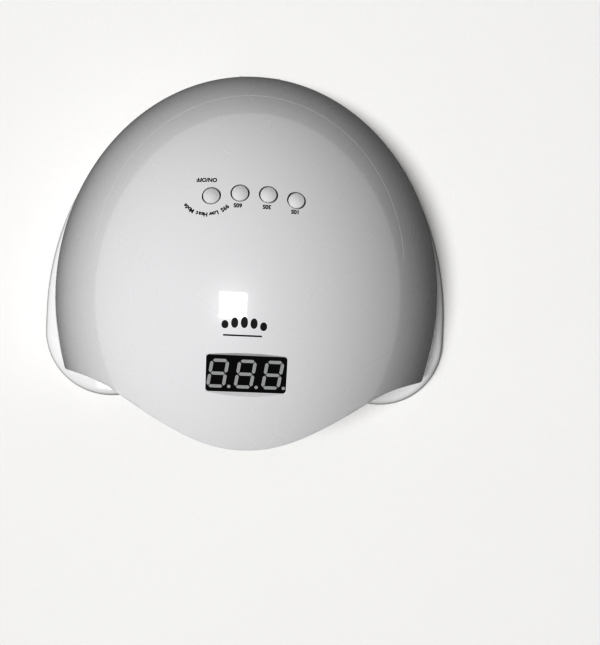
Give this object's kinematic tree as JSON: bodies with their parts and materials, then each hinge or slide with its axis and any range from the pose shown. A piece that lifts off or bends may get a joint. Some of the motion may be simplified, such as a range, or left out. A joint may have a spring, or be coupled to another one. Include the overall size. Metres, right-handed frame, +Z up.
{
  "type": "uv curing lamp",
  "caption": "White domed ultraviolet curing lamp with a hand opening, digital display and push buttons on a lift-off mirrored tray.",
  "frame": {"origin": "centre of the footprint on the surface that the lamp stands on", "axes": "+Z up, -Y towards the user (hand opening and display), +Y towards the supply inlet, X across"},
  "size_m": [0.2348, 0.2049, 0.0995],
  "materials": {
    "shell_white": "glossy moulded",
    "tray_white": "glossy moulded",
    "frame_white": "fine satin",
    "mirror_film": "vacuum-metallised",
    "foot_rubber": "matte",
    "magnet_nickel": "nickel plated",
    "screw_steel": "zinc plated",
    "strip_white": "coated flexible circuit",
    "led_body": "satin",
    "led_lens": "clear silicone",
    "board_green": "solder mask",
    "chip_black": "moulded epoxy",
    "capacitor_can": "sleeved can",
    "connector_cream": "moulded nylon",
    "display_black": "printed face",
    "segment_grey": "diffusing resin",
    "ribbon_amber": "polyimide film",
    "button_grey": "fine speckled texture",
    "plunger_black": "moulded",
    "jack_black": "moulded",
    "pin_nickel": "nickel plated",
    "lead_black": "insulation",
    "lead_red": "insulation"
  },
  "bodies": {
    "tray": {"base_tray": "tray_white", "tray_reflector_sheet": "mirror_film", "tray_magnets": "magnet_nickel", "rubber_feet": "foot_rubber"},
    "housing": {"top_shell": "shell_white", "base_frame": "frame_white", "opening_trim": "frame_white", "inner_reflector": "mirror_film", "housing_magnets": "magnet_nickel", "housing_screws": "screw_steel", "reflector_screws": "screw_steel", "board_screws": "screw_steel", "led_beads": "led_body", "led_lenses": "led_lens", "sensor_board": "board_green", "hand_sensors": "chip_black", "display_module": "display_black", "display_segments": "segment_grey", "display_board": "board_green", "display_ribbon": "ribbon_amber", "control_board": "board_green", "controller_chip": "chip_black", "power_inductor": "chip_black", "driver_transistors": "chip_black", "filter_capacitors": "capacitor_can", "lead_connectors": "connector_cream", "switch_bodies": "chip_black", "dc_jack": "jack_black", "dc_jack_pin": "pin_nickel", "supply_lead_black": "lead_black", "supply_lead_red": "lead_red", "led_leads": "lead_red", "led_strip_left_lower": "strip_white", "led_strip_right_lower": "strip_white", "led_strip_left_upper": "strip_white", "led_strip_right_upper": "strip_white", "led_strip_rear": "strip_white"},
    "button_1": {"button_cap_1": "button_grey", "switch_plunger_1": "plunger_black"},
    "button_2": {"button_cap_2": "button_grey", "switch_plunger_2": "plunger_black"},
    "button_3": {"button_cap_3": "button_grey", "switch_plunger_3": "plunger_black"},
    "button_4": {"button_cap_4": "button_grey", "switch_plunger_4": "plunger_black"}
  },
  "joints": [
    {"name": "housing_lift", "type": "slide", "parent": "tray", "child": "housing", "axis": [0, 0, 1], "range_m": [0, 0.12]},
    {"name": "button_1_press", "type": "slide", "parent": "housing", "child": "button_1", "axis": [0, -0.2787, -0.9604], "range_m": [0, 0.0006], "stiffness_N_per_m": 2000},
    {"name": "button_2_press", "type": "slide", "parent": "housing", "child": "button_2", "axis": [0, -0.2787, -0.9604], "range_m": [0, 0.0006], "stiffness_N_per_m": 2000},
    {"name": "button_3_press", "type": "slide", "parent": "housing", "child": "button_3", "axis": [0, -0.2787, -0.9604], "range_m": [0, 0.0006], "stiffness_N_per_m": 2000},
    {"name": "button_4_press", "type": "slide", "parent": "housing", "child": "button_4", "axis": [0, -0.2787, -0.9604], "range_m": [0, 0.0006], "stiffness_N_per_m": 2000}
  ]
}
